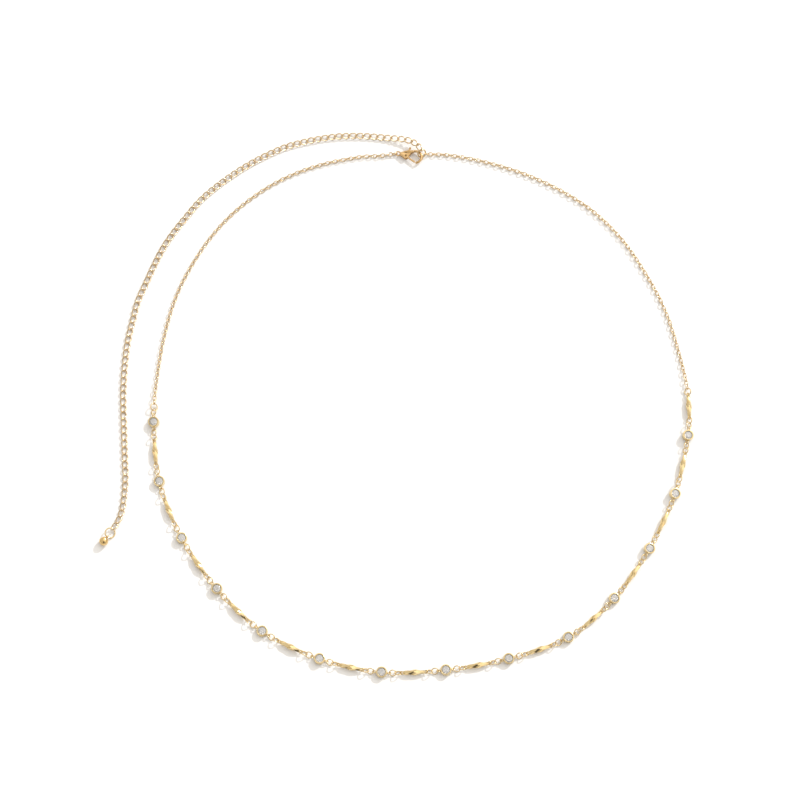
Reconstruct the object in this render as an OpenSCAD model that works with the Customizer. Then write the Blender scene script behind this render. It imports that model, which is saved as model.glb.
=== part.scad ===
// Waist chain: stone settings and twisted bars on the front strand, fine chain
// round the back, a lobster clasp on a jump ring, and an extender with a bead.
// Millimetres, +Z up, lying on z = 0. X runs along the back, Y away from the front.

/* [Stone] */
// Diameter of each round stone over its girdle
stone_d = 4; // [3:0.1:5]
// Width of the flat table
table_d = 2.2; // [1.8:0.1:2.4]
// Height of the crown, from the girdle to the table
crown_h = 0.5; // [0.4:0.05:0.6]
// Thickness of the girdle
girdle_h = 0.12; // [0.08:0.01:0.16]
// Depth of the pavilion, from the girdle to the point
pavilion_h = 1.3; // [1.1:0.05:1.35]

/* [Setting] */
// Height of the setting
setting_h = 2.3; // [2.2:0.05:3]
// Wall of the rim round the stone
rim_wall = 0.4; // [0.3:0.05:0.6]
// How far the rim stands above the girdle
rim_over = 0.55; // [0.5:0.05:0.7]
// How far the lip leans over the stone
lip_over = 0.15; // [0.1:0.01:0.2]
// Width of the ledge that the stone sits on
seat_w = 0.42; // [0.3:0.02:0.6]
// Outer diameter of each soldered ear
ear_od = 2; // [1.9:0.1:2.6]
// Wire of the ears
ear_wire = 0.42; // [0.36:0.02:0.5]
// How deep an ear sits in the rim
ear_sink = 0.15; // [0.1:0.01:0.25]

/* [Bar] */
// Length of a twisted bar over its tabs
bar_l = 12.5; // [10:0.1:14]
// Width of the bar's diamond section at the middle
bar_w = 2.5; // [2:0.1:2.6]
// Thickness of the bar's diamond section at the middle
bar_t = 2.1; // [1.6:0.1:2.4]
// Turn of the section from one tab to the other
bar_twist = 180; // [180, 540]
// Diameter of the round tab at each end
tab_d = 1.8; // [1.7:0.05:2.1]
// Thickness of the tabs
tab_t = 0.5; // [0.4:0.05:0.6]
// Hole in each tab
tab_hole = 0.95; // [0.9:0.01:1.05]

/* [Rings] */
// Outer diameter of the loose rings between settings and bars
ring_od = 3.4; // [3:0.05:3.6]
// Wire of the loose rings
ring_wire = 0.46; // [0.36:0.02:0.48]
// Outer diameter of the ring where the left chain ends
left_ring_od = 3.8; // [3.4:0.1:4.2]
// Outer diameter of the ring where the right chain ends
right_ring_od = 3.6; // [3.2:0.1:4]
// Wire of those two rings
end_wire = 0.5; // [0.44:0.02:0.54]
// Outer diameter of the jump ring that the clasp closes on
jump_od = 4.4; // [4.4:0.1:5]
// Wire of the jump ring
jump_wire = 0.65; // [0.6:0.05:0.7]

/* [Back chain] */
// Outer width of the fine chain, drawn as a tube
chain_w = 1.8; // [1.2:0.1:2]
// Rings along each tube
tube_rings = 40; // [30:1:40]

/* [Extender] */
// Links in the extender
link_count = 85; // [60:1:85]
// Outer length of a link
link_l = 4.6; // [4.4:0.1:4.8]
// Outer width of a link
link_w = 3; // [2.8:0.1:3.3]
// Wire of a link
link_wire = 0.54; // [0.5:0.02:0.58]
// Turn of each end of a link about the chain
link_twist = 45; // [40:1:50]
// Outer diameter of the ring that carries the end bead
drop_od = 5; // [4.4:0.1:5.6]
// Wire of that ring
drop_wire = 0.6; // [0.4:0.05:0.65]
// Diameter of the end bead
bead_d = 4; // [3.4:0.1:5]
// Outer diameter of the bead's eye
bead_eye_od = 1.9; // [1.8:0.1:2.4]
// Wire of the bead's eye
bead_eye_wire = 0.45; // [0.4:0.05:0.5]

/* [Clasp] */
// Thickness of the clasp over its two cheeks
clasp_t = 2; // [1.9:0.05:2.4]
// Thickness of the lever between the cheeks
lever_t = 1; // [0.8:0.05:1]
// Outer diameter of the clasp's eye
clasp_eye_od = 2.6; // [2.4:0.1:2.8]
// Wire of the clasp's eye
clasp_eye_wire = 0.6; // [0.5:0.05:0.7]
// Radius of the hook's bend along the middle of its wire
hook_r = 2.85; // [2.7:0.05:3]
// Thickness of the hook
hook_wire = 1.1; // [1:0.05:1.15]
// From the clasp's eye to the middle of the hook's bend
hook_x = 8.2; // [7.8:0.1:8.6]
// From the clasp's eye to the rivet
pivot_x = 3.8; // [3.6:0.1:4]
// Radius of the cheeks round the rivet
cheek_r = 1.35; // [1.25:0.05:1.5]
// Diameter of the rivet
rivet_d = 0.6; // [0.5:0.05:0.8]
// Thickness of the rivet's heads
rivet_head = 0.12; // [0.08:0.01:0.2]
// Thickness of the lever's gate
gate_d = 0.9; // [0.7:0.05:0.95]
// Diameter of the lever's thumb knob
knob_d = 1.1; // [0.9:0.05:1.3]

/* [Clearances] */
// Between a stone and its rim
stone_gap = 0.03; // [0.02:0.01:0.06]
// Between links that pass through each other
link_gap = 0.12; // [0.11:0.01:0.16]
// Between the lever and each cheek
lever_gap = 0.05; // [0.03:0.01:0.08]
// Between the rivet and the lever's bore
rivet_gap = 0.03; // [0.02:0.01:0.05]
// Between the rivet and the cheeks
seat_gap = 0.01; // [0.01:0.01:0.03]
// Between a back chain's tube and the ring it ends at
chain_gap = 0.1; // [0.05:0.05:0.3]

/* [Hidden] */
station_count = 14;
// Where the first setting lies, along the loop from the jump ring
first_station_at = 202;
// Play taken up in each stretch of the strand: before the first setting,
// between settings, and after the last
slack = [1.4, 0.9, 0.5, 0.5, 0.7, 0.3, 0.6, 0.3, 0.5, 0.5, 1.5, 0.9, 0.8, 0.8, 1.2];
joints = 6;
// Roll of each setting about the strand, its stone facing outwards where positive
station_roll = [8, 3, -2, 4, 0, -4, 3, 0, 5, 4, 10, 14, 14, 10];
// Roll of the rings that lie flatter; the ones between them stand square to these
flat_roll = 40;
steep_roll = flat_roll - 90;
// Roll of the two end rings
left_ring_roll = -30;
right_ring_roll = -35;

// The loop's route round the waist, seen from above: jump ring, left chain,
// the settings, right chain
loop_route = [
    [11.5, 117.6], [0.3, 118.4], [-8, 117], [-18, 116], [-36, 112], [-53, 105],
    [-68.5, 94.5], [-81.5, 81.5], [-92, 66], [-100, 49], [-105, 30.5],
    [-108, 10], [-109, -10.5], [-106, -38], [-95.5, -64], [-79.5, -87],
    [-59.5, -106], [-34, -118.5], [-7, -124.5], [21.5, -123.5], [49, -118.5],
    [75.5, -109], [96, -91.5], [112, -69], [124, -44], [130.5, -17],
    [131, 3], [126.5, 26], [121, 44], [112.5, 61], [102.5, 76.5], [89.5, 90],
    [74, 100.5], [57, 108.5], [39.5, 114], [24, 117]
];
// The extender's route, from its second link to the bead
extender_route = [
    [10, 121.1], [7.6, 122.9], [4.2, 124.2], [-5, 125.5], [-15, 126.5],
    [-24.5, 126.5], [-33.5, 125.5], [-43, 123.5], [-51.5, 121], [-60, 117],
    [-68, 112.5], [-76, 107], [-83, 101.5], [-90, 95], [-95.5, 88],
    [-101.5, 80], [-106.5, 72], [-110.5, 63.5], [-114, 55], [-117.5, 46.5],
    [-119.5, 37.5], [-121.5, 28], [-122.5, 18.5], [-123, 9], [-123, -0.5],
    [-122.5, -10], [-122, -19], [-121.5, -28.5], [-121, -37.5],
    [-121.5, -46], [-122.5, -53], [-126, -60], [-132, -65]
];
route_steps = 8;

ring_sides = 64;
wire_sides = 24;
link_sides = 12;
link_wire_sides = 5;
tube_sides = 8;
bar_sections = 17;

function unit(v) = v / norm(v);
function sum_to(v, n) = n < 0 ? 0 : v[n] + sum_to(v, n - 1);

// Points of a smooth curve through the knots a, b, c and d, from b to c
function curve(a, b, c, d, t) =
    b + t * (c - a) / 2
    + t * t * (2 * a - 5 * b + 4 * c - d) / 2
    + t * t * t * (3 * b - a - 3 * c + d) / 2;
function closed_curve(k) = let(n = len(k)) [
    for (i = [0 : n - 1], j = [0 : route_steps - 1])
        curve(k[(i + n - 1) % n], k[i], k[(i + 1) % n], k[(i + 2) % n], j / route_steps),
    k[0]
];
function open_curve(k) = let(n = len(k)) [
    for (i = [0 : n - 2], j = [0 : route_steps - 1])
        curve(k[max(i - 1, 0)], k[i], k[i + 1], k[min(i + 2, n - 1)], j / route_steps),
    k[n - 1]
];
// Distance along a list of points to each of them
function distances(p) = [
    for (i = 0, d = 0; i < len(p); d = d + (i + 1 < len(p) ? norm(p[i + 1] - p[i]) : 0), i = i + 1) d
];
function column(p, d, c) = [for (i = [0 : len(p) - 1]) [d[i], p[i][c]]];

loop_points = closed_curve(loop_route);
loop_at = distances(loop_points);
loop_len = loop_at[len(loop_at) - 1];
loop_x = column(loop_points, loop_at, 0);
loop_y = column(loop_points, loop_at, 1);

// Setting and stone, from the strand's axis through the middle of the setting
setting_r = stone_d / 2 + stone_gap + rim_wall;
girdle_z = setting_h / 2 - rim_over;

// Distances along the strand from the middle of a setting
ear_r = (ear_od - ear_wire) / 2;
ring_r = (ring_od - ring_wire) / 2;
ear_at = setting_r + ear_od / 2 - ear_sink;
ring_a_at = ear_at + ear_r - (ear_wire + ring_wire) / 2 - link_gap + ring_r;
ring_b_at = ring_a_at + 2 * ring_r - ring_wire - link_gap;
hole_at = ring_b_at + ring_r + (tab_hole - ring_wire) / 2 - link_gap;
hole_span = bar_l - tab_d;
pitch = 2 * hole_at + hole_span;

function station_at(i) = first_station_at + i * pitch - sum_to(slack, i) + slack[0];
// Play taken up at each joint on one side of setting i
function ease(i, side) = slack[side > 0 ? i + 1 : i] / joints;
function ring_a_from(i, side) = station_at(i) + side * (ring_a_at - ease(i, side));
function ring_b_from(i, side) = station_at(i) + side * (ring_b_at - 2 * ease(i, side));
function hole_from(i, side) = station_at(i) + side * (hole_at - 3 * ease(i, side));
function roll_of(i) = station_roll[i];
// Height of a rolled setting's middle when its lower edge rests on the floor
function station_z(i) =
    setting_h / 2 * cos(roll_of(i)) + setting_r * abs(sin(roll_of(i)));
steep_rise = ring_r * sin(abs(steep_roll) + 5) + ring_wire / 2 + 0.05;
bar_z = max(bar_w / 2, steep_rise);
last_hole_at = hole_from(station_count - 1, 1) + hole_span;
right_ring_r = (right_ring_od - end_wire) / 2;
left_ring_r = (left_ring_od - end_wire) / 2;
right_ring_at =
    last_hole_at + (tab_hole - end_wire) / 2 - link_gap + right_ring_r
    - ease(station_count - 1, 1);
left_ring_at =
    ring_a_from(0, -1) - ring_r + (ring_wire + end_wire) / 2 + link_gap - left_ring_r
    + ease(0, -1);
strand_z = [
    for (i = [0 : station_count - 1]) each [
        [hole_from(i, -1), bar_z],
        [station_at(i) - ear_at, station_z(i)],
        [station_at(i) + ear_at, station_z(i)],
        [hole_from(i, 1), bar_z]
    ]
];
function strand_point(s) = [lookup(s, loop_x), lookup(s, loop_y), lookup(s, strand_z)];

// Clasp, seen from above: its eye at the origin and its hook towards +X
hook_y = -0.1;
pivot_y = -0.5;
hook_turn = -12.5;
hook_from = -68;
hook_to = 128;
hook_hold = 42.5;
// How far the jump ring's middle lies outside the middle of the hook's wire
hook_reach = 0.55;
// How much wider than its wire the rounded tip of the hook and of the gate is
tip_over = 0.04;
gate_end = [
    hook_x + (hook_r + 0.05) * cos(hook_from) - (hook_wire + gate_d) / 2 - tip_over - lever_gap,
    hook_y + hook_r * sin(hook_from) + gate_d / 4
];
knob_x = pivot_x + 1.1;
knob_y = 3.6;
slot_h = lever_t + 2 * lever_gap;
// Height of the clasp's middle where it rests, at the rivet
clasp_z = clasp_t / 2 + seat_gap + rivet_head + 0.06;
jump_r = (jump_od - jump_wire) / 2;
jump_tilt = 45;
jump_z = jump_r * sin(jump_tilt) + jump_wire / 2;
jump_turn = hook_turn + hook_hold;
function spin(v, a) = [v.x * cos(a) - v.y * sin(a), v.x * sin(a) + v.y * cos(a)];
// The jump ring's middle in the clasp's own frame
jump_in_clasp = [hook_x, hook_y] + (hook_r + hook_reach) * [cos(hook_hold), sin(hook_hold)];
// The hook end is raised, because the tilted ring lifts it
clasp_pitch = asin((jump_z - clasp_z) / (jump_in_clasp.x - pivot_x));
jump_at = loop_route[0];
clasp_at = jump_at - spin([jump_in_clasp.x * cos(clasp_pitch), jump_in_clasp.y], hook_turn);
clasp_eye_z = clasp_z - pivot_x * sin(clasp_pitch);

// Back chain tubes, from ring to ring
tube_z = chain_w / 2;
left_from = clasp_at - spin([clasp_eye_od / 2 + chain_gap + 0.05, 0], 4);
left_to_at = left_ring_at - left_ring_od / 2 - chain_gap;
right_from_at = right_ring_at + right_ring_od / 2 + chain_gap;
right_to_at = loop_len - jump_od / 2 - chain_gap;
chain_fade = 18;
left_from_at = norm(jump_at - left_from);
function fade(s) = s <= 0 ? 1 : s >= chain_fade ? 0 : (1 + cos(180 * s / chain_fade)) / 2;
function left_point(s) =
    let(
        here = [lookup(s, loop_x), lookup(s, loop_y)],
        start = [lookup(left_from_at, loop_x), lookup(left_from_at, loop_y)]
    )
    here + (left_from - start) * fade(s - left_from_at);
function right_point(s) = [lookup(s, loop_x), lookup(s, loop_y)];

// Extender links: each is an oval twisted about the chain, so that the ends of
// neighbours stand square to each other
link_r = (link_l - link_wire) / 2;
link_b = (link_w - link_wire) / 2;
// Play between links along the chain
link_play = 0.14;
link_pitch = 2 * link_r - link_wire - link_gap - link_play;
link_rise = 0.4 * link_b + link_wire / 2;
ring_hold = 76;
jump_v = [-sin(jump_turn) * cos(jump_tilt), cos(jump_turn) * cos(jump_tilt), sin(jump_tilt)];
jump_u = [cos(jump_turn), sin(jump_turn), 0];
extender_ring_point =
    [jump_at.x, jump_at.y, jump_z] + jump_r * (cos(ring_hold) * jump_u + sin(ring_hold) * jump_v);
extender_points =
    open_curve(concat([[extender_ring_point.x, extender_ring_point.y]], extender_route));
extender_at = distances(extender_points);
extender_x = column(extender_points, extender_at, 0);
extender_y = column(extender_points, extender_at, 1);
// Links roll from the first and last ones' angles to level over so many links
start_roll = -45;
end_roll = 25;
roll_links = 9;
extender_heights = [
    [0, extender_ring_point.z],
    [3, extender_ring_point.z + 0.1],
    [19, link_rise + 0.2],
    [roll_links * link_pitch, link_rise],
    [(link_count - roll_links) * link_pitch, link_rise],
    [link_count * link_pitch, link_rise + 0.3]
];
first_link_at = link_r - (jump_wire + link_wire) / 2 - link_gap;
extender_start = unit(extender_points[1] - extender_points[0]);
// Short of the start, the route goes straight on
function extender_point(s) =
    [lookup(s, extender_x), lookup(s, extender_y), lookup(s, extender_heights)]
    + min(s, 0) * [extender_start.x, extender_start.y, 0];
function link_roll(i) =
    i < roll_links ? start_roll * (1 - i / roll_links)
    : i > link_count - 1 - roll_links ? end_roll * (1 - (link_count - 1 - i) / roll_links)
    : 0;

// Axes of a frame along d: forwards, to the left and up, the last two rolled
function axes(d, roll) =
    let(x = unit(d), y = unit([-d.y, d.x, 0]), z = cross(x, y))
    [x, y * cos(roll) + z * sin(roll), z * cos(roll) - y * sin(roll)];
module place(at, d, roll) {
    a = axes(d, roll);
    multmatrix([
        [a.x.x, a.y.x, a.z.x, at.x],
        [a.x.y, a.y.y, a.z.y, at.y],
        [a.x.z, a.y.z, a.z.z, at.z],
        [0, 0, 0, 1]
    ]) children();
}
// Puts its children on the strand at s, in line with the stretch that they span
module on_strand(s, span, roll) {
    a = strand_point(s - span / 2);
    b = strand_point(s + span / 2);
    place((a + b) / 2, b - a, roll) children();
}

module wire_ring(od, wire) {
    rotate_extrude($fn = ring_sides)
        translate([(od - wire) / 2, 0])
            circle(d = wire, $fn = wire_sides);
}

// Stone: a round brilliant with a table, star, kite and girdle facets, and a
// pavilion that comes to a point
module stone(i) {
    star_r = (table_d / 2 + stone_d) / 3;
    star_z = crown_h * (stone_d / 2 - star_r) / (stone_d / 2 - table_d / 2) * 1.12;
    pavilion_r = stone_d * 0.12;
    pavilion_z = -girdle_h - pavilion_h * (1 - 2 * pavilion_r / stone_d) * 1.03;
    points = [
        for (k = [0 : 7]) [table_d / 2 * cos(45 * k), table_d / 2 * sin(45 * k), crown_h],
        for (k = [0 : 7]) [star_r * cos(45 * k + 22.5), star_r * sin(45 * k + 22.5), star_z],
        for (k = [0 : 15]) [stone_d / 2 * cos(22.5 * k), stone_d / 2 * sin(22.5 * k), 0],
        for (k = [0 : 15]) [stone_d / 2 * cos(22.5 * k), stone_d / 2 * sin(22.5 * k), -girdle_h],
        for (k = [0 : 7])
            [pavilion_r * cos(45 * k + 22.5), pavilion_r * sin(45 * k + 22.5), pavilion_z],
        [0, 0, -girdle_h - pavilion_h]
    ];
    faces = [
        [7, 6, 5, 4, 3, 2, 1, 0],
        for (k = [0 : 7]) let(n = (k + 1) % 8, p = (k + 7) % 8) each [
            [k, n, 8 + k],
            [k, 8 + k, 16 + 2 * k],
            [k, 16 + 2 * k, 8 + p],
            [8 + k, 17 + 2 * k, 16 + 2 * k],
            [8 + k, 16 + 2 * n, 17 + 2 * k],
            [32 + 2 * k, 33 + 2 * k, 48 + k],
            [33 + 2 * k, 32 + 2 * n, 48 + k],
            [32 + 2 * k, 48 + k, 56],
            [32 + 2 * k, 56, 48 + p]
        ],
        for (k = [0 : 15]) let(n = (k + 1) % 16) each [
            [16 + k, 16 + n, 32 + n],
            [16 + k, 32 + n, 32 + k]
        ]
    ];
    color("gainsboro")
        on_strand(station_at(i), 2 * ear_at, roll_of(i))
            translate([0, 0, girdle_z])
                polyhedron(points, faces);
}

// Setting: a round rim with a lip over the stone, a ledge under it and an ear
// soldered on each side
module setting(i) {
    half = setting_h / 2;
    rim_in = stone_d / 2 + stone_gap;
    seat_z = girdle_z - girdle_h - 2 * stone_gap;
    slope = pavilion_h / (stone_d / 2);
    lip_r = stone_d / 2 - lip_over;
    crown_slope = crown_h / (stone_d / 2 - table_d / 2);
    open_r = rim_in - seat_w;
    bevel = 0.15;
    color("goldenrod")
        on_strand(station_at(i), 2 * ear_at, roll_of(i)) {
            rotate_extrude($fn = ring_sides)
                polygon([
                    [open_r, -half],
                    [setting_r - bevel, -half],
                    [setting_r, -half + bevel],
                    [setting_r, half - 1.4 * bevel],
                    [setting_r - bevel / 2, half - bevel / 3],
                    [setting_r - 1.4 * bevel, half],
                    [lip_r + bevel / 2, half],
                    [lip_r, half - bevel],
                    [lip_r, girdle_z + lip_over * crown_slope + 2 * stone_gap],
                    [rim_in, girdle_z + stone_gap],
                    [rim_in, seat_z],
                    [open_r, seat_z - seat_w * slope]
                ]);
            for (side = [-1, 1])
                translate([side * ear_at, 0, 0])
                    rotate([steep_roll, 0, 0])
                        wire_ring(ear_od, ear_wire);
        }
}

// Twisted bar: a diamond section that swells to the middle and turns half
// round between two flat pierced tabs, upright at the middle however they roll
module bar(i) {
    neck_w = 1.4;
    neck_t = 0.8 * tab_t;
    reach = hole_span / 2 - tab_hole / 2 - 0.12;
    sections = [
        for (j = [0 : bar_sections - 1]) let(
            u = 2 * j / (bar_sections - 1) - 1,
            swell = pow(cos(90 * u), 0.6),
            a = (neck_w + (bar_w - neck_w) * swell) / 2,
            b = (neck_t + (bar_t - neck_t) * swell) / 2,
            turn = bar_twist * (u + 1) / 2 - flat_roll
        ) for (k = [0 : 3]) let(
            y = a * cos(90 * k),
            z = b * sin(90 * k)
        ) [u * reach, y * cos(turn) - z * sin(turn), y * sin(turn) + z * cos(turn)]
    ];
    last = 4 * (bar_sections - 1);
    faces = [
        for (j = [0 : bar_sections - 2], k = [0 : 3]) let(
            a = 4 * j + k,
            b = 4 * j + (k + 1) % 4
        ) each [[b, a, b + 4], [b + 4, a, a + 4]],
        [0, 1, 2, 3],
        [last + 3, last + 2, last + 1, last]
    ];
    color("goldenrod")
        on_strand(hole_from(i, 1) + hole_span / 2, hole_span, flat_roll)
            difference() {
                union() {
                    polyhedron(sections, faces);
                    for (side = [-1, 1])
                        translate([side * hole_span / 2, 0, 0])
                            cylinder(d = tab_d, h = tab_t, center = true, $fn = ring_sides);
                }
                for (side = [-1, 1])
                    translate([side * hole_span / 2, 0, 0])
                        cylinder(d = tab_hole, h = 2 * tab_t, center = true, $fn = ring_sides);
            }
}

// Loose rings from the ears of settings a to b to the bars beside them
module connecting_rings(a, b) {
    color("goldenrod")
        for (i = [a : b], side = [-1, 1]) {
            on_strand(ring_a_from(i, side), ring_od, flat_roll + 0.6 * roll_of(i))
                wire_ring(ring_od, ring_wire);
            if (i > 0 || side > 0)
                on_strand(ring_b_from(i, side), ring_od, steep_roll + 0.3 * roll_of(i))
                    wire_ring(ring_od, ring_wire);
        }
}
module connecting_rings_left() connecting_rings(0, floor(station_count / 2) - 1);
module connecting_rings_right() connecting_rings(floor(station_count / 2), station_count - 1);

// End rings: where the back chains join the strand
module left_end_ring() {
    color("goldenrod")
        on_strand(left_ring_at, left_ring_od, left_ring_roll)
            wire_ring(left_ring_od, end_wire);
}
module right_end_ring() {
    color("goldenrod")
        on_strand(right_ring_at, right_ring_od, right_ring_roll)
            wire_ring(right_ring_od, end_wire);
}

// Back chains: each a plain tube along the route
module tube(points) {
    n = len(points);
    rings = [
        for (j = [0 : n - 1]) let(
            a = axes(points[min(j + 1, n - 1)] - points[max(j - 1, 0)], 0)
        ) for (k = [0 : tube_sides - 1]) let(t = 360 * (k + 0.5) / tube_sides)
            points[j] + chain_w / 2 / cos(180 / tube_sides) * (a.y * cos(t) + a.z * sin(t))
    ];
    last = tube_sides * (n - 1);
    faces = [
        for (j = [0 : n - 2], k = [0 : tube_sides - 1]) let(
            a = tube_sides * j + k,
            b = tube_sides * j + (k + 1) % tube_sides
        ) each [[b, a, b + tube_sides], [b + tube_sides, a, a + tube_sides]],
        [for (k = [0 : tube_sides - 1]) k],
        [for (k = [0 : tube_sides - 1]) last + tube_sides - 1 - k]
    ];
    polyhedron(rings, faces);
}
module left_chain() {
    color("khaki")
        tube([
            for (j = [0 : tube_rings - 1])
                let(p = left_point(left_from_at + (left_to_at - left_from_at) * j / (tube_rings - 1)))
                [p.x, p.y, tube_z]
        ]);
}
module right_chain() {
    color("khaki")
        tube([
            for (j = [0 : tube_rings - 1])
                let(p = right_point(right_from_at + (right_to_at - right_from_at) * j / (tube_rings - 1)))
                [p.x, p.y, tube_z]
        ]);
}

// Jump ring: holds the right chain and the extender, and the hook passes
// through it
module jump_ring() {
    color("goldenrod")
        place([jump_at.x, jump_at.y, jump_z], jump_u, jump_tilt)
            wire_ring(jump_od, jump_wire);
}

// Clasp
module in_clasp() {
    place(
        [clasp_at.x, clasp_at.y, clasp_eye_z],
        [cos(hook_turn), sin(hook_turn), tan(clasp_pitch)], 0
    ) children();
}
module rod(a, b, d) {
    translate([a.x, a.y, 0])
        rotate([0, 90, atan2(b.y - a.y, b.x - a.x)])
            cylinder(d = d, h = norm(b - a), $fn = wire_sides);
}
// Body: the eye, two cheeks with a slot between them for the lever, and the hook
module clasp_body() {
    root = [hook_x + hook_r * cos(hook_to), hook_y + hook_r * sin(hook_to)];
    root_r = hook_wire / 2;
    neck = clasp_eye_od / 2 - clasp_eye_wire / 2;
    slot_from = pivot_x - cheek_r;
    slot_to = pivot_x + cheek_r - 0.05;
    color("goldenrod")
        in_clasp()
            difference() {
                union() {
                    wire_ring(clasp_eye_od, clasp_eye_wire);
                    linear_extrude(clasp_t, center = true) {
                        offset(r = 0.3, $fn = wire_sides)
                            offset(delta = -0.3)
                                polygon([
                                    [neck - 0.1, 0.55],
                                    [neck - 0.1, -0.55],
                                    [pivot_x - 0.3, pivot_y - cheek_r + 0.03],
                                    [pivot_x + cheek_r - 0.1, pivot_y],
                                    [root.x - 0.2, root.y - root_r],
                                    [root.x + 0.1, root.y + root_r],
                                    [pivot_x - 0.3, pivot_y + 2.5]
                                ]);
                        translate([pivot_x, pivot_y])
                            circle(r = cheek_r, $fn = ring_sides);
                        translate(root)
                            circle(r = root_r, $fn = ring_sides);
                    }
                    translate([hook_x, hook_y, 0])
                        rotate([0, 0, hook_from])
                            rotate_extrude(angle = hook_to - hook_from, $fn = ring_sides)
                                translate([hook_r, 0])
                                    circle(d = hook_wire, $fn = wire_sides);
                    translate([
                        hook_x + hook_r * cos(hook_from),
                        hook_y + hook_r * sin(hook_from),
                        0
                    ])
                        sphere(d = hook_wire + tip_over, $fn = wire_sides);
                }
                translate([slot_from, pivot_y - 3, -slot_h / 2])
                    cube([slot_to - slot_from, 8, slot_h]);
                translate([slot_to - 0.1, pivot_y - 3, -slot_h / 2])
                    cube([0.9, 4.2, slot_h]);
                translate([pivot_x, pivot_y, 0])
                    cylinder(
                        d = rivet_d + 2 * seat_gap, h = 2 * clasp_t, center = true, $fn = ring_sides
                    );
            }
}
// Lever: a hub on the rivet, the gate that closes the hook and the thumb knob
module clasp_lever() {
    pivot = [pivot_x, pivot_y];
    knob = [knob_x, knob_y];
    hub_r = cheek_r - 0.3;
    stem_d = 0.8;
    color("darkgoldenrod")
        in_clasp()
            difference() {
                union() {
                    translate([pivot_x, pivot_y, 0])
                        cylinder(r = hub_r, h = lever_t, center = true, $fn = ring_sides);
                    rod(pivot, gate_end, gate_d);
                    translate([gate_end.x, gate_end.y, 0])
                        sphere(d = gate_d + tip_over, $fn = wire_sides);
                    rod(pivot, knob, stem_d);
                    translate([knob.x, knob.y, 0])
                        sphere(d = knob_d, $fn = wire_sides);
                }
                translate([pivot_x, pivot_y, 0])
                    cylinder(
                        d = rivet_d + 2 * rivet_gap, h = 2 * lever_t, center = true, $fn = ring_sides
                    );
            }
}
// Rivet: a headed pin through the cheeks, hollow at its ends
module clasp_rivet() {
    head_d = rivet_d + 0.4;
    dimple_d = rivet_d / 2;
    dimple_h = 0.4;
    color("goldenrod")
        in_clasp()
            translate([pivot_x, pivot_y, 0])
                difference() {
                    union() {
                        cylinder(
                            d = rivet_d, h = clasp_t + 2 * seat_gap, center = true, $fn = ring_sides
                        );
                        for (side = [-1, 1])
                            translate([0, 0, side * (clasp_t / 2 + seat_gap + rivet_head / 2)])
                                cylinder(d = head_d, h = rivet_head, center = true, $fn = ring_sides);
                    }
                    for (side = [-1, 1])
                        translate([0, 0, side * (clasp_t / 2 + rivet_head)])
                            cylinder(d = dimple_d, h = 2 * dimple_h, center = true, $fn = ring_sides);
                }
}

// Extender: twisted oval links, each through the next
link_ring = [
    for (j = [0 : link_sides - 1]) let(
        t = 360 * j / link_sides,
        w = link_twist * cos(t),
        y = link_b * sin(t)
    ) [link_r * cos(t), y * cos(w), y * sin(w)]
];
link_shape = [
    for (j = [0 : link_sides - 1]) let(
        before = link_ring[(j + link_sides - 1) % link_sides],
        after = link_ring[(j + 1) % link_sides],
        along = unit(after - before),
        out = link_ring[j] - (link_ring[j] * along) * along,
        n = unit(out),
        b = cross(along, n)
    ) for (k = [0 : link_wire_sides - 1]) let(v = 360 * k / link_wire_sides)
        link_ring[j] + link_wire / 2 * (n * cos(v) + b * sin(v))
];
link_faces = [
    for (j = [0 : link_sides - 1], k = [0 : link_wire_sides - 1]) let(
        a = link_wire_sides * j + k,
        b = link_wire_sides * j + (k + 1) % link_wire_sides,
        c = link_wire_sides * ((j + 1) % link_sides) + (k + 1) % link_wire_sides,
        d = link_wire_sides * ((j + 1) % link_sides) + k
    ) each [[b, a, c], [c, a, d]]
];
function link_place(i) =
    let(
        s = first_link_at + i * link_pitch,
        a = extender_point(s - link_r),
        b = extender_point(s + link_r)
    ) [(a + b) / 2, axes(b - a, link_roll(i))];
module extender_chain() {
    size = link_sides * link_wire_sides;
    points = [
        for (i = [0 : link_count - 1]) let(f = link_place(i), a = f[1])
            for (p = link_shape) f[0] + a.x * p.x + a.y * p.y + a.z * p.z
    ];
    faces = [
        for (i = [0 : link_count - 1], f = link_faces) [for (v = f) v + i * size]
    ];
    color("khaki")
        polyhedron(points, faces);
}

// End of the extender: a ring through the last link, and a bead with its eye
drop_r = (drop_od - drop_wire) / 2;
drop_roll = link_twist + end_roll - 90;
drop_frame = link_place(link_count - 1);
drop_dir = unit([drop_frame[1].x.x, drop_frame[1].x.y, 0]);
drop_z = drop_r * sin(abs(drop_roll)) + drop_wire / 2;
drop_from =
    drop_frame[0] + drop_frame[1].x * (link_r - (link_wire + drop_wire) / 2 - link_gap);
drop_at = [drop_from.x, drop_from.y, 0] + drop_dir * drop_r + [0, 0, drop_z];
module end_ring() {
    color("goldenrod")
        place(drop_at, drop_dir, drop_roll)
            wire_ring(drop_od, drop_wire);
}
module end_bead() {
    eye_r = (bead_eye_od - bead_eye_wire) / 2;
    eye_x = drop_r - (drop_wire + bead_eye_wire) / 2 - link_gap + eye_r;
    bead_x = eye_x + bead_eye_od / 2 + bead_d / 2 - bead_eye_wire;
    rise = bead_d / 2 - drop_z;
    color("gold")
        place(drop_at + drop_dir * eye_x, drop_dir + [0, 0, rise / (bead_x - eye_x)], 90)
            union() {
                wire_ring(bead_eye_od, bead_eye_wire);
                translate([norm([bead_x - eye_x, rise]), 0, 0])
                    sphere(d = bead_d, $fn = ring_sides);
            }
}

function two(n) = n < 10 ? str("0", n) : str(n);
function named(what) = [for (i = [1 : station_count]) str(what, "_", two(i))];

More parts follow.
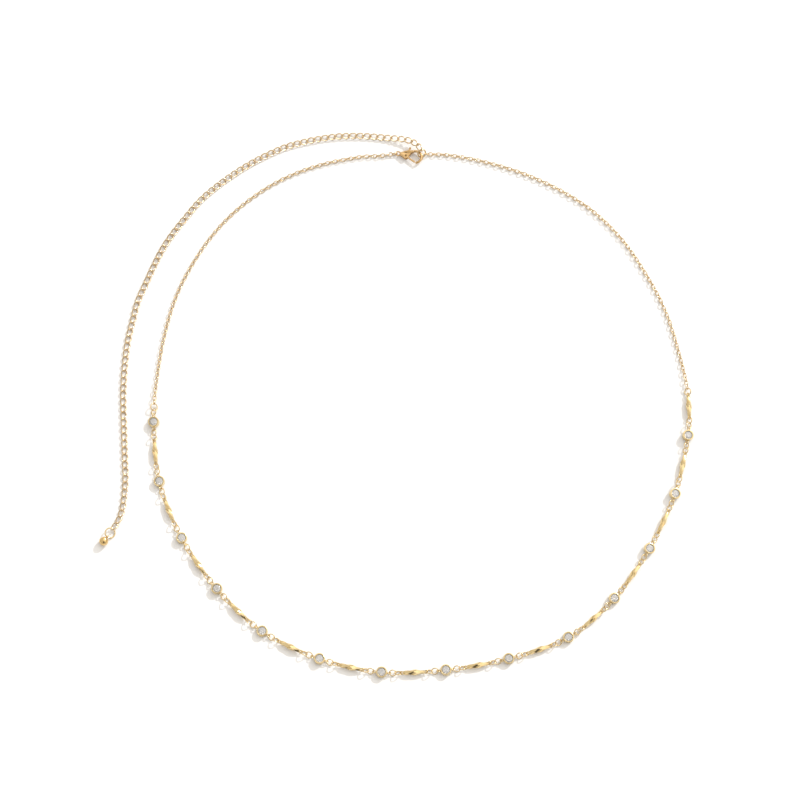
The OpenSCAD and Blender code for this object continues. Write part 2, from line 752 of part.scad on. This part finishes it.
for (i = [0 : station_count - 1]) {
    setting(i);
    stone(i);
    bar(i);
}
connecting_rings_left();
connecting_rings_right();
left_end_ring();
right_end_ring();
left_chain();
right_chain();
jump_ring();
clasp_body();
clasp_lever();
clasp_rivet();
extender_chain();
end_ring();
end_bead();
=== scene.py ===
import bisect
import math
import bmesh
import bpy
import numpy
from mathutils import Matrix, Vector


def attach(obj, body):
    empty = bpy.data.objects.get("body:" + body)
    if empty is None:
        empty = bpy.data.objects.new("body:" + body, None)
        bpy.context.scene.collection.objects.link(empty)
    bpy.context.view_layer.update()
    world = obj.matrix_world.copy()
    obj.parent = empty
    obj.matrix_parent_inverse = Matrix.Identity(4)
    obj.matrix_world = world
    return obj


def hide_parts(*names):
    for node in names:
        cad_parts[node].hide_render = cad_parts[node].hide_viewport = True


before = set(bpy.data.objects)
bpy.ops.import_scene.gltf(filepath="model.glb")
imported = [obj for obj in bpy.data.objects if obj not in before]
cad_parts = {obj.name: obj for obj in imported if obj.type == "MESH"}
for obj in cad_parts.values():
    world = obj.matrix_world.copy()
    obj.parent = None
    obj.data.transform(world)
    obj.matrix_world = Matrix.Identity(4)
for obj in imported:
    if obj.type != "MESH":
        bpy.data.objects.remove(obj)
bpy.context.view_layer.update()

scene = bpy.context.scene

# The view of the photograph: a long lens from 74 degrees above the surface, square to the
# back of the waist loop.
view_above = 74.0
lens = bpy.data.cameras.new("camera")
lens.lens, lens.sensor_width = 135.0, 36.0
camera = bpy.data.objects.new("camera", lens)
camera.location = (0.0015, -0.37211, 1.2977)
camera.rotation_euler = (math.radians(90.0 - view_above), 0.0, 0.0)
scene.collection.objects.link(camera)
scene.camera = camera
scene.view_settings.view_transform = "Standard"


# Surface and light: white paper under one fairly hard lamp from the right and behind, in a
# bright room with a window on the same side and a dark place in front, which the gold mirrors.
class Wire:
    """A node socket that Python sums can use, in shader and geometry trees alike."""

    def __init__(self, tree, socket=None):
        self.tree, self.socket = tree, socket

    def node(self, kind, settings=None, inputs=None, out=0):
        made = self.tree.nodes.new(kind)
        for name, value in (settings or {}).items():
            if name == "stops":
                for stop, (position, colour) in zip(made.color_ramp.elements, value):
                    stop.position, stop.color = position, colour
            elif name == "captures":
                for kept in value:
                    made.capture_items.new(*kept)
            else:
                setattr(made, name, value)
        for name, value in (inputs or {}).items():
            if isinstance(value, Wire):
                self.tree.links.new(value.socket, made.inputs[name])
            else:
                made.inputs[name].default_value = value
        return Wire(self.tree, made.outputs[out]) if len(made.outputs) else made

    def outputs(self, *names):
        return [Wire(self.tree, self.socket.node.outputs[name]) for name in names]

    def math(self, operation, first, second=None):
        values = [value for value in (first, second) if value is not None]
        return self.node("ShaderNodeMath", {"operation": operation}, dict(enumerate(values)))

    def __add__(self, other): return self.math("ADD", self, other)
    def __radd__(self, other): return self.math("ADD", other, self)
    def __sub__(self, other): return self.math("SUBTRACT", self, other)
    def __rsub__(self, other): return self.math("SUBTRACT", other, self)
    def __mul__(self, other): return self.math("MULTIPLY", self, other)
    def __rmul__(self, other): return self.math("MULTIPLY", other, self)
    def __truediv__(self, other): return self.math("DIVIDE", self, other)
    def __pow__(self, other): return self.math("POWER", self, other)


room = bpy.data.worlds.new("room")
room.use_nodes = True
scene.world = room
room.node_tree.nodes.clear()
sky = Wire(room.node_tree)
across = sky.node("ShaderNodeTexCoord", out="Generated")


def toward(direction):
    return sky.node("ShaderNodeVectorMath", {"operation": "DOT_PRODUCT"},
                    {0: across, 1: tuple(Vector(direction).normalized())}, out="Value")


def ramp(value, low, high):
    return sky.node("ShaderNodeMapRange", {"interpolation_type": "SMOOTHSTEP"},
                    {"Value": value, "From Min": low, "From Max": high})


dark_place, overhead, window_side = (0.12, -0.62, 0.77), (0.0, 0.0, 1.0), (0.7, 0.6, 0.4)
wall_light, ceiling_light, window_light, darkening = 0.35, 0.56, 0.7, 0.85
in_front = ramp(toward(dark_place), 0.87, 0.96)
above = ramp(toward(overhead), 0.0, 0.35)
window = ramp(toward(window_side), 0.3, 0.85)
bright = wall_light + above * (ceiling_light + window_light * window)
level = bright * (1.0 - darkening * in_front)
sky_light = sky.node("ShaderNodeBackground", inputs={
    "Color": (1.0, 0.962, 0.915, 1.0), "Strength": level})
backdrop = sky.node("ShaderNodeBackground", inputs={
    "Color": (0.95, 0.94, 0.93, 1.0), "Strength": 1.0})
seen = sky.node("ShaderNodeLightPath", out="Is Camera Ray")
sky.node("ShaderNodeOutputWorld", inputs={"Surface": sky.node(
    "ShaderNodeMixShader", inputs={0: seen, 1: sky_light, 2: backdrop})})

lamp = bpy.data.lights.new("lamp", "SUN")
lamp.energy, lamp.color, lamp.angle = 2.0, (0.97, 0.99, 1.0), math.radians(1.2)
lamp_object = bpy.data.objects.new("lamp", lamp)
lamp_object.rotation_euler = Vector((0.57, 0.6, 0.561)).to_track_quat("Z", "Y").to_euler()
scene.collection.objects.link(lamp_object)

paper = bpy.data.materials.new("white_paper")
paper.use_nodes = True
paper_look = paper.node_tree.nodes["Principled BSDF"].inputs
paper_look["Base Color"].default_value = (0.9, 0.9, 0.9, 1.0)
paper_look["Roughness"].default_value = 0.9
paper_look["Specular IOR Level"].default_value = 0.1
paper_drop = 0.00005
sheet = bmesh.new()
bmesh.ops.create_circle(sheet, cap_ends=True, radius=3.0, segments=96)
for corner in sheet.verts:
    corner.co.z = -paper_drop
floor_mesh = bpy.data.meshes.new("floor")
sheet.to_mesh(floor_mesh)
sheet.free()
floor_mesh.materials.append(paper)
floor = bpy.data.objects.new("floor", floor_mesh)
scene.collection.objects.link(floor)


# Settings: turned brass rims, each with two soldered ears of round wire, gold plated and
# polished. The plate varies a little in colour and carries fine rubbing marks.
def gold_plate(name, pale, deep, roughness, marks=0.35):
    plate = bpy.data.materials.new(name)
    plate.use_nodes = True
    plate.node_tree.nodes.clear()
    tree = Wire(plate.node_tree)
    place = tree.node("ShaderNodeTexCoord", out="Object")
    cloud = tree.node("ShaderNodeTexNoise", inputs={"Vector": place, "Scale": 420.0, "Detail": 2.0})
    rubbed = tree.node("ShaderNodeTexNoise", inputs={
        "Vector": tree.node("ShaderNodeMapping", inputs={
            "Vector": place, "Scale": (1.0, 2.6, 1.7)}),
        "Scale": 3200.0, "Detail": 3.0, "Roughness": 0.6})
    tint = tree.node("ShaderNodeValToRGB", {"stops": [
        (0.3, (*deep, 1.0)), (0.7, (*pale, 1.0))]}, {"Fac": cloud})
    best_polish, cloud_dulls, rubbing_dulls = roughness - 0.03, 0.07, 0.06
    dullness = best_polish + cloud_dulls * cloud + rubbing_dulls * rubbed
    relief = tree.node("ShaderNodeBump", inputs={
        "Height": rubbed, "Strength": marks, "Distance": 0.00002})
    surface = tree.node("ShaderNodeBsdfPrincipled", inputs={
        "Base Color": tint, "Metallic": 1.0, "Roughness": dullness, "Normal": relief})
    tree.node("ShaderNodeOutputMaterial", inputs={"Surface": surface})
    return plate


def finished(material, *nodes):
    for name in nodes:
        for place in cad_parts[name].material_slots:
            place.material = material


stations = 14
numbers = [f"{number:02d}" for number in range(1, stations + 1)]
setting_gold = gold_plate(
    "polished_rim_gold", pale=(0.78, 0.64, 0.375), deep=(0.69, 0.525, 0.27), roughness=0.15)
finished(setting_gold, *("setting_" + number for number in numbers))


# Stones: clear crystal, cut with a table, kites and a pointed pavilion, each held under the
# rim's lip. The facets are the solid's own; the glass has a faint warm tint.
def clear_crystal():
    crystal = bpy.data.materials.new("clear_crystal")
    crystal.use_nodes = True
    crystal.node_tree.nodes.clear()
    tree = Wire(crystal.node_tree)
    place = tree.node("ShaderNodeTexCoord", out="Object")
    veil = tree.node("ShaderNodeTexNoise", inputs={"Vector": place, "Scale": 900.0, "Detail": 1.0})
    tint = tree.node("ShaderNodeValToRGB", {"stops": [
        (0.35, (0.98, 0.97, 0.96, 1.0)), (0.65, (1.0, 1.0, 1.0, 1.0))]}, {"Fac": veil})
    polish, veil_dulls = 0.01, 0.02
    surface = tree.node("ShaderNodeBsdfPrincipled", inputs={
        "Base Color": tint, "Roughness": polish + veil_dulls * veil, "IOR": 1.75,
        "Transmission Weight": 0.65})
    tree.node("ShaderNodeOutputMaterial", inputs={"Surface": surface})
    return crystal


finished(clear_crystal(), *("stone_" + number for number in numbers))


# Twisted bars: four-edged wire that swells from a flat neck to its middle and turns half round
# from end to end, gold plated and polished, with a flat pierced tab soldered to each end.
def tree_inputs(tree, **sizes):
    """Named inputs of a geometry tree, each typed by its starting value."""
    kinds = {float: "NodeSocketFloat", int: "NodeSocketInt"}
    tree.interface.new_socket("Geometry", in_out="OUTPUT", socket_type="NodeSocketGeometry")
    tree.interface.new_socket("Spans", in_out="INPUT", socket_type="NodeSocketGeometry")
    for name, value in sizes.items():
        tree.interface.new_socket(
            name.replace("_", " ").capitalize(), in_out="INPUT", socket_type=kinds[type(value)])
    tree.interface.new_socket("Material", in_out="INPUT", socket_type="NodeSocketMaterial")
    given = Wire(tree).node("NodeGroupInput")
    return [Wire(tree, socket) for socket in given.socket.node.outputs if socket.name]


def on_spans(tree, spans, piece, roll, material):
    """Puts one piece on each edge of a mesh, in line with it and rolled about it, as the result."""
    ends = tree.node("GeometryNodeInputMeshEdgeVertices", out="Position 1")
    first, last = ends.outputs("Position 1", "Position 2")
    way = tree.node("ShaderNodeVectorMath", {"operation": "SUBTRACT"}, {0: last, 1: first})
    kept = tree.node("GeometryNodeCaptureAttribute", {
        "captures": [("VECTOR", "Way")], "domain": "EDGE"}, {0: spans, 1: way})
    spans, way = kept.outputs(0, 1)
    middles = tree.node("GeometryNodeMeshToPoints", {"mode": "EDGES"}, {0: spans})
    aside = tree.node("ShaderNodeVectorMath", {"operation": "CROSS_PRODUCT"}, {
        0: (0.0, 0.0, 1.0), 1: way})
    level = tree.node("FunctionNodeAxesToRotation", {"primary_axis": "X", "secondary_axis": "Y"},
                      {0: way, 1: aside})
    turn = tree.node("FunctionNodeAxisAngleToRotation", inputs={
        "Axis": (1.0, 0.0, 0.0), "Angle": roll})
    turned = tree.node("FunctionNodeRotateRotation", {"rotation_space": "LOCAL"}, {
        0: level, 1: turn})
    placed = tree.node("GeometryNodeInstanceOnPoints",
                       inputs={"Points": middles, "Instance": piece, "Rotation": turned})
    real = tree.node("GeometryNodeRealizeInstances", inputs={0: placed})
    coated = tree.node("GeometryNodeSetMaterial", inputs={"Geometry": real, "Material": material})
    tree.node("NodeGroupOutput", inputs={0: coated})


def made_from(name, spans, tree, material, **sizes):
    """The plain mesh that a geometry tree makes on these spans, riding on the chain."""
    corners = [end for span in spans for end in span]
    mesh = bpy.data.meshes.new(name + "_spans")
    mesh.from_pydata(corners, [(2 * k, 2 * k + 1) for k in range(len(spans))], [])
    rough = bpy.data.objects.new(name + "_spans", mesh)
    scene.collection.objects.link(rough)
    modifier = rough.modifiers.new("made", "NODES")
    modifier.node_group = tree
    sizes = {key.replace("_", " ").capitalize(): value for key, value in sizes.items()}
    for item in tree.interface.items_tree:
        if item.in_out == "INPUT" and item.name in sizes:
            modifier[item.identifier] = sizes[item.name]
        elif item.in_out == "INPUT" and item.name == "Material":
            modifier[item.identifier] = material
    bpy.context.view_layer.update()
    whole = rough.evaluated_get(bpy.context.evaluated_depsgraph_get())
    piece = bpy.data.objects.new(name, bpy.data.meshes.new_from_object(whole))
    rough.modifiers.remove(modifier)
    bpy.data.objects.remove(rough)
    scene.collection.objects.link(piece)
    piece.data.name = name
    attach(piece, "chain")
    return piece


def cosine(angle): return angle.math("COSINE", angle)
def sine(angle): return angle.math("SINE", angle)


bar_sizes = dict(reach=0.00481, width=0.0025, thickness=0.0025, neck_width=0.0013,
                 neck_thickness=0.0005, twist=math.pi, hole_span=0.0107, tab=0.0018,
                 tab_thickness=0.0005, hole=0.00095, roll=math.radians(40.0))
swelling, edge_roundness, ridge_angle = 0.7, 1.28, 0.6
bar_tree = bpy.data.node_groups.new("twisted_bars", "GeometryNodeTree")
(spans, reach, width, thickness, neck_width, neck_thickness, twist, hole_span, tab, tab_thickness,
 hole, roll, material) = tree_inputs(bar_tree, **bar_sizes)
tree = Wire(bar_tree)
round_bar = tree.node("GeometryNodeMeshCylinder", {"fill_type": "NGON"},
                      {"Vertices": 16, "Side Segments": 48, "Radius": 1.0, "Depth": 2.0})
where = tree.node("GeometryNodeInputPosition")
along = tree.node("ShaderNodeSeparateXYZ", inputs={0: where}, out="Z")
flat_way, thick_way = along.outputs("X", "Y")
swell = tree.math("MAXIMUM", cosine(along * (math.pi / 2)), 0.0) ** swelling
half_width = (neck_width + (width - neck_width) * swell) * 0.5
half_thickness = (neck_thickness + (thickness - neck_thickness) * swell) * 0.5
flat_share = tree.math("ABSOLUTE", flat_way) ** edge_roundness
thick_share = tree.math("ABSOLUTE", thick_way) ** edge_roundness
edge = (flat_share + thick_share) ** (-1 / edge_roundness)
y = flat_way * half_width * edge
z = thick_way * half_thickness * edge
turn = twist * (along + 1.0) * 0.5 - roll
shaped = tree.node("GeometryNodeSetPosition", inputs={"Geometry": round_bar, "Position": tree.node(
    "ShaderNodeCombineXYZ", inputs={
        "X": along * reach,
        "Y": y * cosine(turn) - z * sine(turn),
        "Z": y * sine(turn) + z * cosine(turn)})})
washer_edge = tree.node("GeometryNodeFilletCurve", {"mode": "POLY"}, {
    "Curve": tree.node("GeometryNodeCurvePrimitiveQuadrilateral",
                       inputs={"Width": tab_thickness, "Height": (tab - hole) * 0.5}),
    "Count": 3, "Radius": 0.0001})
washer = tree.node("GeometryNodeCurveToMesh", inputs={
    "Curve": tree.node("GeometryNodeCurvePrimitiveCircle",
                       inputs={"Resolution": 40, "Radius": (tab + hole) * 0.25}),
    "Profile Curve": washer_edge})
tabs = [tree.node("GeometryNodeTransform", inputs={"Geometry": washer, "Translation": tree.node(
    "ShaderNodeCombineXYZ", inputs={"X": hole_span * side})}) for side in (-0.5, 0.5)]
bar = tree.node("GeometryNodeJoinGeometry", inputs={0: shaped})
for one in tabs:
    bar_tree.links.new(one.socket, bar.socket.node.inputs[0])
smooth = tree.node("GeometryNodeSetShadeSmooth", inputs={0: bar})
angle = tree.node("GeometryNodeInputMeshEdgeAngle", out="Unsigned Angle")
ridges = tree.math("GREATER_THAN", angle, ridge_angle)
crisp = tree.node("GeometryNodeSetShadeSmooth", {"domain": "EDGE"}, {
    "Geometry": smooth, "Selection": ridges, "Shade Smooth": False})
on_spans(tree, spans, crisp, roll, material)

# Each bar's place comes from its solid, and all of them run the same way round the loop.
bar_spans = []
for number in numbers:
    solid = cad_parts["bar_" + number].data
    points = numpy.empty(3 * len(solid.vertices))
    solid.vertices.foreach_get("co", points)
    points = numpy.unique(points.reshape(-1, 3).round(7), axis=0)
    middle = points.mean(axis=0)
    way = numpy.linalg.svd(points - middle, full_matrices=False)[2][0]
    if middle[0] * way[1] - middle[1] * way[0] < 0:
        way = -way
    way *= bar_sizes["hole_span"] / 2
    bar_spans.append([tuple(middle - way), tuple(middle + way)])
bar_gold = gold_plate(
    "twisted_bar_gold", pale=(0.78, 0.63, 0.355), deep=(0.69, 0.505, 0.24), roughness=0.11)
bars = made_from("twisted_bars", bar_spans, bar_tree, bar_gold, **bar_sizes)
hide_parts(*("bar_" + number for number in numbers))


# Rings: round wire bent into closed rings, in pairs between the settings and the bars, and
# larger ones where the chains begin and end. The solids are true, so they keep their shape.
ring_gold = gold_plate("ring_gold", pale=(0.77, 0.62, 0.37), deep=(0.68, 0.505, 0.26), roughness=0.16)
finished(ring_gold, "connecting_rings_left", "connecting_rings_right", "left_end_ring",
         "right_end_ring", "jump_ring", "end_ring")


# Fine chains round the back: oval links of brass wire, each through the next and a quarter
# turn from it, from the clasp's eye to the left ring and from the right ring to the jump ring.
loop_route = [
    (0.0115, 0.1176), (0.0003, 0.1184), (-0.008, 0.117), (-0.018, 0.116), (-0.036, 0.112),
    (-0.053, 0.105), (-0.0685, 0.0945), (-0.0815, 0.0815), (-0.092, 0.066), (-0.1, 0.049),
    (-0.105, 0.0305), (-0.108, 0.01), (-0.109, -0.0105), (-0.106, -0.038), (-0.0955, -0.064),
    (-0.0795, -0.087), (-0.0595, -0.106), (-0.034, -0.1185), (-0.007, -0.1245),
    (0.0215, -0.1235), (0.049, -0.1185), (0.0755, -0.109), (0.096, -0.0915), (0.112, -0.069),
    (0.124, -0.044), (0.1305, -0.017), (0.131, 0.003), (0.1265, 0.026), (0.121, 0.044),
    (0.1125, 0.061), (0.1025, 0.0765), (0.0895, 0.09), (0.074, 0.1005), (0.057, 0.1085),
    (0.0395, 0.114), (0.024, 0.117),
]


def smooth_route(knots, closed, steps=8):
    """Points of the curve through the knots, so many to a stretch, and their distances."""
    knots = [Vector(knot) for knot in knots]
    count, points = len(knots), []
    for k in range(count if closed else count - 1):
        a, b, c, d = (
            knots[(k + step) % count] if closed else knots[min(max(k + step, 0), count - 1)]
            for step in (-1, 0, 1, 2))
        for t in (part / steps for part in range(steps)):
            points.append(b + t * (c - a) / 2 + t * t * (2 * a - 5 * b + 4 * c - d) / 2
                          + t ** 3 * (3 * b - a - 3 * c + d) / 2)
    points.append(knots[0] if closed else knots[-1])
    distances = [0.0]
    for before, after in zip(points, points[1:]):
        distances.append(distances[-1] + (after - before).length)
    return points, distances


def point_at(route, distance):
    points, distances = route
    k = min(max(bisect.bisect_right(distances, distance), 1), len(points) - 1)
    part = (distance - distances[k - 1]) / (distances[k] - distances[k - 1])
    return points[k - 1] + (points[k] - points[k - 1]) * part


def height_at(heights, distance):
    for (from_at, low), (to_at, high) in zip(heights, heights[1:]):
        if distance <= to_at:
            return low + (high - low) * max(distance - from_at, 0.0) / (to_at - from_at)
    return heights[-1][1]


def ease(distance, over):
    """A share that falls gently from 1 to 0 over this distance."""
    return 0.5 + 0.5 * math.cos(math.pi * min(max(distance / over, 0.0), 1.0))


chain_sizes = dict(links=99, link_length=0.0028, link_width=0.00205, wire=0.00046, twist=0.0,
                   straight=0.4, first_roll=math.pi / 4, next_roll=math.pi / 2, start_roll=0.0,
                   end_roll=0.0, roll_links=7, sides=12, wire_sides=6)
chain_tree = bpy.data.node_groups.new("linked_chain", "GeometryNodeTree")
(spans, links, link_length, link_width, wire, twist, straight, first_roll, next_roll, start_roll,
 end_roll, roll_links, sides, wire_sides, material) = tree_inputs(chain_tree, **chain_sizes)
tree = Wire(chain_tree)
half_length, half_width = (link_length - wire) * 0.5, (link_width - wire) * 0.5
ring = tree.node("GeometryNodeCurvePrimitiveCircle", inputs={"Resolution": sides, "Radius": 1.0})
where = tree.node("GeometryNodeInputPosition")
x = tree.node("ShaderNodeSeparateXYZ", inputs={0: where}, out="X")
y = x.outputs("Y")[0]
side = tree.math("SIGN", tree.math("ROUND", x * 1000.0))
lean = twist * x
oval = tree.node("GeometryNodeSetPosition", inputs={"Geometry": ring, "Position": tree.node(
    "ShaderNodeCombineXYZ", inputs={
        "X": x * (half_length - (half_length - half_width) * straight)
        + side * (half_length - half_width) * straight,
        "Y": y * half_width * cosine(lean),
        "Z": y * half_width * sine(lean)})})
wire_round = tree.node("GeometryNodeCurvePrimitiveCircle", inputs={
    "Resolution": wire_sides, "Radius": wire * 0.5})
link = tree.node("GeometryNodeSetShadeSmooth", inputs={0: tree.node(
    "GeometryNodeCurveToMesh", inputs={"Curve": oval, "Profile Curve": wire_round})})
order = tree.node("GeometryNodeInputIndex")
from_start = tree.math("MAXIMUM", 1.0 - order / roll_links, 0.0)
from_end = tree.math("MAXIMUM", 1.0 - (links - 1.0 - order) / roll_links, 0.0)
link_roll = first_roll + next_roll * order + start_roll * from_start + end_roll * from_end
on_spans(tree, spans, link, link_roll, material)

loop = smooth_route(loop_route, True)
chain_gold = gold_plate(
    "fine_chain_gold", pale=(0.77, 0.62, 0.41), deep=(0.69, 0.515, 0.305), roughness=0.18, marks=0.2)
chain_low, level_for, settles_over, straightens_over = 0.0008, 0.0005, 0.014, 0.018


def fine_chain(name, node, links, start_at, end_at, start_z, end_z, start_shift, **rolls):
    """A cable chain between two wires, which its first and last links go round."""
    half = (chain_sizes["link_length"] - chain_sizes["wire"]) / 2
    pitch = (end_at - start_at - 2 * half) / (links - 1)

    def chain_point(at):
        flat = point_at(loop, at) + start_shift * ease(at - start_at, straightens_over)
        start_rise = (start_z - chain_low) * ease(at - start_at - level_for, settles_over)
        end_rise = (end_z - chain_low) * ease(end_at - level_for - at, settles_over)
        return Vector((*flat, chain_low + start_rise + end_rise))

    spans = [[chain_point(start_at + k * pitch), chain_point(start_at + k * pitch + 2 * half)]
             for k in range(links)]
    piece = made_from(
        name, spans, chain_tree, chain_gold, **{**chain_sizes, "links": links, **rolls})
    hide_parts(node)


# Places of the wires at the chains' ends, as distances along the loop and heights.
eye_wire = Vector((-0.000403, 0.117697))
eye_at = (eye_wire - Vector(loop_route[0])).length
eye_overlap, left_ring_at, right_ring_at, jump_ring_back = 0.00056, 0.193827, 0.58614, 0.00114
eye_z, end_rings_z, jump_ring_z = 0.00103, 0.00148, 0.0009
fine_chain("left_cable_chain", "left_chain", links=99, start_at=eye_at - eye_overlap,
           end_at=left_ring_at, start_z=eye_z, end_z=end_rings_z,
           start_shift=eye_wire - point_at(loop, eye_at), start_roll=math.radians(45.0),
           end_roll=math.radians(15.0), roll_links=4)
fine_chain("right_cable_chain", "right_chain", links=97, start_at=right_ring_at,
           end_at=loop[1][-1] - jump_ring_back, start_z=end_rings_z, end_z=jump_ring_z,
           start_shift=Vector((0.0, 0.0)), start_roll=math.radians(10.0),
           end_roll=math.radians(8.7))


# Clasp: a cast lobster clasp with its lever on a rivet between two cheeks. Casting and
# tumbling round every edge, most of all on the cheeks, and leave a shallow hollow along each.
# The solids are remeshed finely and eased, and the hook comes out a little fuller.
clasp_gold = gold_plate(
    "clasp_gold", pale=(0.72, 0.5, 0.26), deep=(0.6, 0.38, 0.16), roughness=0.11, marks=0.25)
# The rivet's dark brown is painted shade, standing in for the shade at the pivot.
finished(gold_plate("painted_shade_rivet_gold", pale=(0.4, 0.25, 0.1), deep=(0.24, 0.14, 0.05),
                    roughness=0.3), "clasp_rivet")
casting_grain, easing_rounds, edge_easing, cheek_easing = 0.00006, 120, 0.065, 0.5
cheek_middle, cheek_reach, cheek_fades = (0.0039, 0.1171), (0.0027, 0.0019), (0.5, 1.3)
rivet_middle, rivet_way = (0.004188, 0.116458, 0.00119), (-0.06514, 0.01444, 0.99777)
hollow_middle, hollow_reach, hollow_depth = (0.0044, 0.11765), (0.0015, 0.0005), 0.00032
cheek_face = (0.0007, 0.0009)
hook_starts_x, hook_starts_y = (0.007, 0.0085), (0.1134, 0.1148)


def smoothly(values, low, high):
    part = numpy.clip((values - low) / (high - low), 0.0, 1.0)
    return part * part * (3.0 - 2.0 * part)


def apart(points, middle, reach):
    """How far points lie from a middle, each way as a share of its reach, squared."""
    aside, along = (points[:, axis] - middle[axis] for axis in (0, 1))
    return (aside / reach[0]) ** 2 + (along / reach[1]) ** 2


def evenly_meshed(name, node):
    """The node's solid under one even, fine mesh."""
    solid = bmesh.new()
    solid.from_mesh(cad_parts[node].data)
    bmesh.ops.remove_doubles(solid, verts=solid.verts, dist=1e-6)
    mesh = bpy.data.meshes.new(name)
    solid.to_mesh(mesh)
    solid.free()
    rough = bpy.data.objects.new(name + "_rough", mesh)
    scene.collection.objects.link(rough)
    fine = rough.modifiers.new("fine", "REMESH")
    fine.mode, fine.voxel_size = "VOXEL", casting_grain
    bpy.context.view_layer.update()
    whole = rough.evaluated_get(bpy.context.evaluated_depsgraph_get())
    mesh = bpy.data.meshes.new_from_object(whole)
    bpy.data.objects.remove(rough)
    return mesh


def ease_towards_neighbours(points, edges, softness):
    """Draws each point towards its neighbours, round by round, as far as it is soft."""
    count = len(points)
    near, far = edges.T.ravel(), edges[:, ::-1].T.ravel()
    neighbours = numpy.bincount(near, minlength=count)
    for _ in range(easing_rounds):
        around = [numpy.bincount(near, points[far, axis], count) / neighbours for axis in range(3)]
        points += softness[:, None] * (numpy.stack(around, axis=1) - points)


def tumbled(name, node, body, cheeks_eased, hook_fuller):
    """Puts the eased casting in place of the node's solid."""
    mesh = evenly_meshed(name, node)
    count = len(mesh.vertices)
    points, normals = numpy.empty(3 * count), numpy.empty(3 * count)
    mesh.vertices.foreach_get("co", points)
    points = points.reshape(-1, 3)
    edges = numpy.empty(2 * len(mesh.edges), dtype=int)
    mesh.edges.foreach_get("vertices", edges)
    on_cheeks = 1.0 - smoothly(apart(points, cheek_middle, cheek_reach), *cheek_fades)
    ease_towards_neighbours(
        points, edges.reshape(-1, 2), edge_easing + cheek_easing * cheeks_eased * on_cheeks)

    height = (points - rivet_middle) @ rivet_way
    outwards = numpy.sign(height) * smoothly(abs(height), *cheek_face)
    hollow = numpy.exp(-apart(points, hollow_middle, hollow_reach))
    points[:, 2] -= outwards * cheeks_eased * hollow_depth * hollow
    mesh.vertices.foreach_set("co", points.ravel())
    mesh.update()
    mesh.vertices.foreach_get("normal", normals)
    fuller = smoothly(points[:, 0], *hook_starts_x) * smoothly(points[:, 1], *hook_starts_y)
    points += normals.reshape(-1, 3) * hook_fuller * fuller[:, None]
    mesh.vertices.foreach_set("co", points.ravel())
    mesh.update()

    mesh.name = name
    mesh.materials.clear()
    mesh.materials.append(clasp_gold)
    mesh.shade_smooth()
    piece = bpy.data.objects.new(name, mesh)
    scene.collection.objects.link(piece)
    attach(piece, body)
    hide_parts(node)


tumbled("cast_clasp_body", "clasp_body", "chain", cheeks_eased=0.87, hook_fuller=0.00008)
tumbled("cast_clasp_lever", "clasp_lever", "clasp_lever", cheeks_eased=0.0, hook_fuller=0.0)


# Extender: open curb chain, each oval link twisted a quarter turn so that it lies through
# its neighbours, from the jump ring to the end ring.
extender_route = [
    (0.0112496, 0.118941), (0.01, 0.1211), (0.0076, 0.1229), (0.0042, 0.1242), (-0.005, 0.1255),
    (-0.015, 0.1265), (-0.0245, 0.1265), (-0.0335, 0.1255), (-0.043, 0.1235), (-0.0515, 0.121),
    (-0.06, 0.117), (-0.068, 0.1125), (-0.076, 0.107), (-0.083, 0.1015), (-0.09, 0.095),
    (-0.0955, 0.088), (-0.1015, 0.08), (-0.1065, 0.072), (-0.1105, 0.0635), (-0.114, 0.055),
    (-0.1175, 0.0465), (-0.1195, 0.0375), (-0.1215, 0.028), (-0.1225, 0.0185), (-0.123, 0.009),
    (-0.123, -0.0005), (-0.1225, -0.01), (-0.122, -0.019), (-0.1215, -0.0285), (-0.121, -0.0375),
    (-0.1215, -0.046), (-0.1225, -0.053), (-0.126, -0.06), (-0.132, -0.065),
]
extender = smooth_route(extender_route, False)
curb_sizes = dict(chain_sizes, links=85, link_length=0.0046, link_width=0.0031, wire=0.0006,
                  twist=math.radians(45.0), straight=0.0, first_roll=0.0, next_roll=0.0,
                  start_roll=math.radians(-45.0), end_roll=math.radians(25.0), roll_links=9,
                  sides=16)
curb_half, curb_pitch, curb_low, first_at, first_z = 0.00203, 0.00326, 0.00079, 0.001315, 0.002937

# Heights by distance from the jump ring: down from its wire, flat, and up to the end ring.
curb_heights = [
    (0.0, first_z), (0.003, first_z + 0.0001), (0.019, curb_low + 0.0002),
    (9 * curb_pitch, curb_low), (76 * curb_pitch, curb_low),
    (curb_sizes["links"] * curb_pitch, curb_low + 0.0003),
]
curb_spans = []
for k in range(curb_sizes["links"]):
    middle_at = first_at + k * curb_pitch
    curb_spans.append([Vector((*point_at(extender, at), height_at(curb_heights, at)))
                       for at in (middle_at - curb_half, middle_at + curb_half)])
curb = made_from("curb_chain", curb_spans, chain_tree, chain_gold, **curb_sizes)
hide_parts("extender_chain")


# End bead: a polished brass ball with a soldered eye, hung from the end ring as a stop and a
# drop. The solid is true, so it keeps its shape.
bead_gold = gold_plate(
    "bead_gold", pale=(0.74, 0.54, 0.26), deep=(0.64, 0.43, 0.17), roughness=0.08, marks=0.2)
finished(bead_gold, "end_bead")
